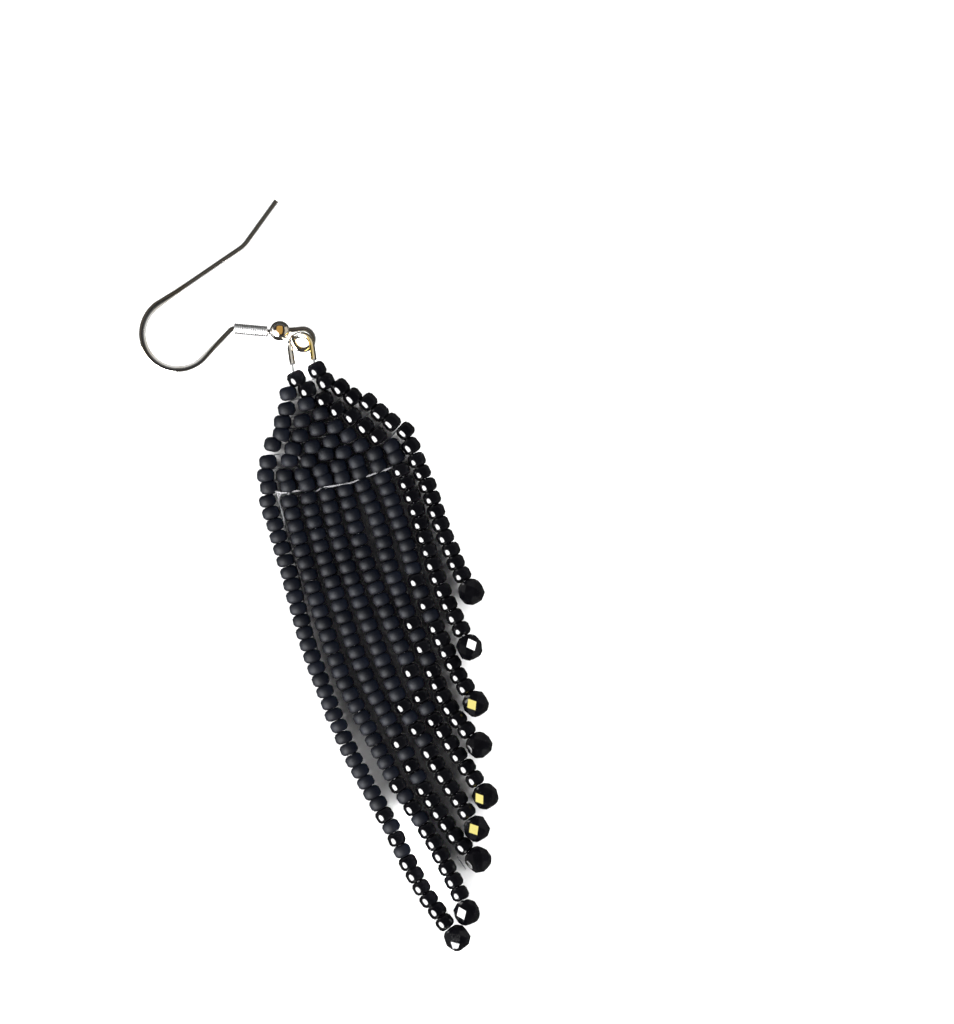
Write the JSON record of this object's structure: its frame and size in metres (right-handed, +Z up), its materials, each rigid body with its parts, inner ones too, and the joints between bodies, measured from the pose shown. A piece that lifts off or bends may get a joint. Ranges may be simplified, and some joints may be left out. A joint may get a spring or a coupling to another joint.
{
  "type": "beaded fringe earring",
  "caption": "Fringe earring: a hook ear wire with coil and ball, a wire guard, a brick stitched triangle of seed beads and slanting bead strands that end in faceted beads.",
  "frame": {"origin": "on the surface it lies on, under the middle of the whole earring", "axes": "+Y from the fringe to the ear wire, +X to the side the drop beads point to, +Z up, out of its face"},
  "size_m": [0.0409, 0.0855, 0.003],
  "materials": {
    "silver": "polished silver",
    "thread": "pale nylon thread",
    "matte_beads": "frosted blue black glass",
    "glossy_beads": "glossy black glass",
    "faceted_beads": "fire polished black glass"
  },
  "bodies": {
    "root": {"ear_wire": "silver", "wire_coil": "silver", "wire_ball": "silver", "wire_guard": "silver", "top_thread": "thread", "bead_weave": "matte_beads", "strand_1": "matte_beads", "strand_2": "matte_beads", "strand_3": "matte_beads", "strand_4": "matte_beads", "strand_5": "matte_beads", "strand_6": "matte_beads", "strand_7": "matte_beads", "strand_8": "glossy_beads", "strand_9": "glossy_beads", "drop_bead_1": "faceted_beads", "drop_bead_2": "faceted_beads", "drop_bead_3": "faceted_beads", "drop_bead_4": "faceted_beads", "drop_bead_5": "faceted_beads", "drop_bead_6": "faceted_beads", "drop_bead_7": "faceted_beads", "drop_bead_8": "faceted_beads", "drop_bead_9": "faceted_beads"}
  },
  "joints": []
}
